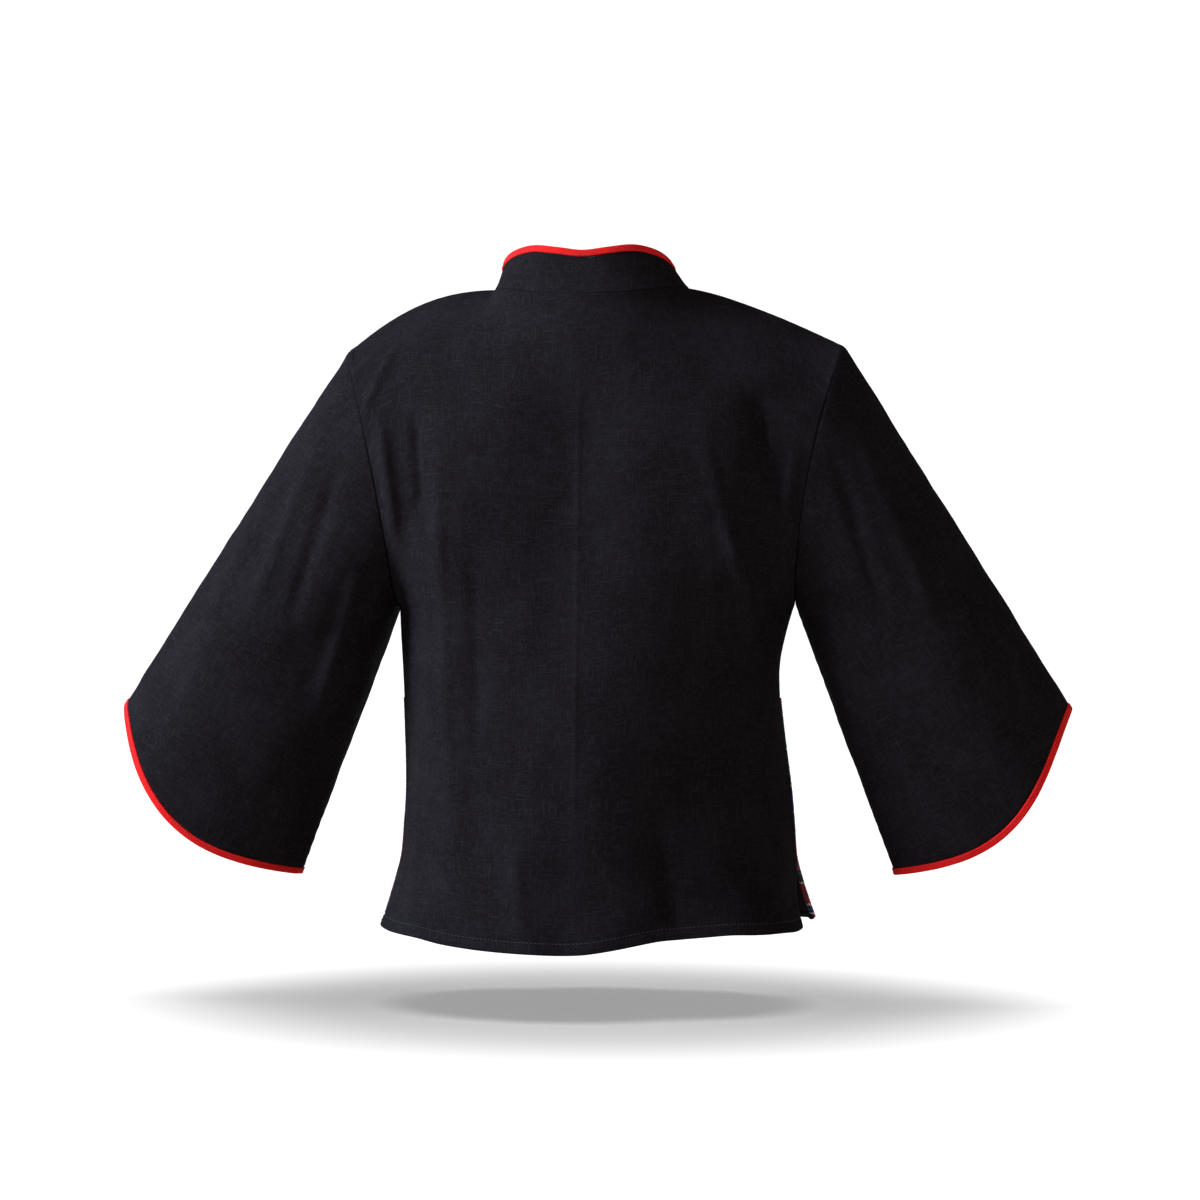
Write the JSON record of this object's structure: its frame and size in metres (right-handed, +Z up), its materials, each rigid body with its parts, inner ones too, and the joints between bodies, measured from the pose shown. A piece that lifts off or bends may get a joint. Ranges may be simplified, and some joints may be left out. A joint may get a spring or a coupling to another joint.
{
  "type": "hmong embroidered jacket",
  "caption": "Hollow short jacket of dark slubby linen with wide petal-cuff sleeves, a stand collar, red bound edges, side vents and cross-stitched bands low on the fronts.",
  "frame": {"origin": "middle of the neck opening, level with the tops of the shoulders where the jacket hangs on its wearer", "axes": "+X towards the wearer's left hand, -Y out of the front of the jacket, +Z up"},
  "size_m": [0.8363, 0.2419, 0.6042],
  "materials": {
    "linen": "black slubby plain-weave linen, matt",
    "binding": "bright red cotton bias binding, matt",
    "embroidery": "counted cross stitch in red, black, white, green and blue cotton thread"
  },
  "bodies": {
    "root": {"back": "linen", "front_left": "linen", "front_right": "linen", "front_embroidery_left": "embroidery", "front_embroidery_right": "embroidery", "sleeve_left": "linen", "sleeve_right": "linen", "cuff_binding_left": "binding", "cuff_binding_right": "binding", "collar": "linen", "collar_binding": "binding"}
  },
  "joints": []
}
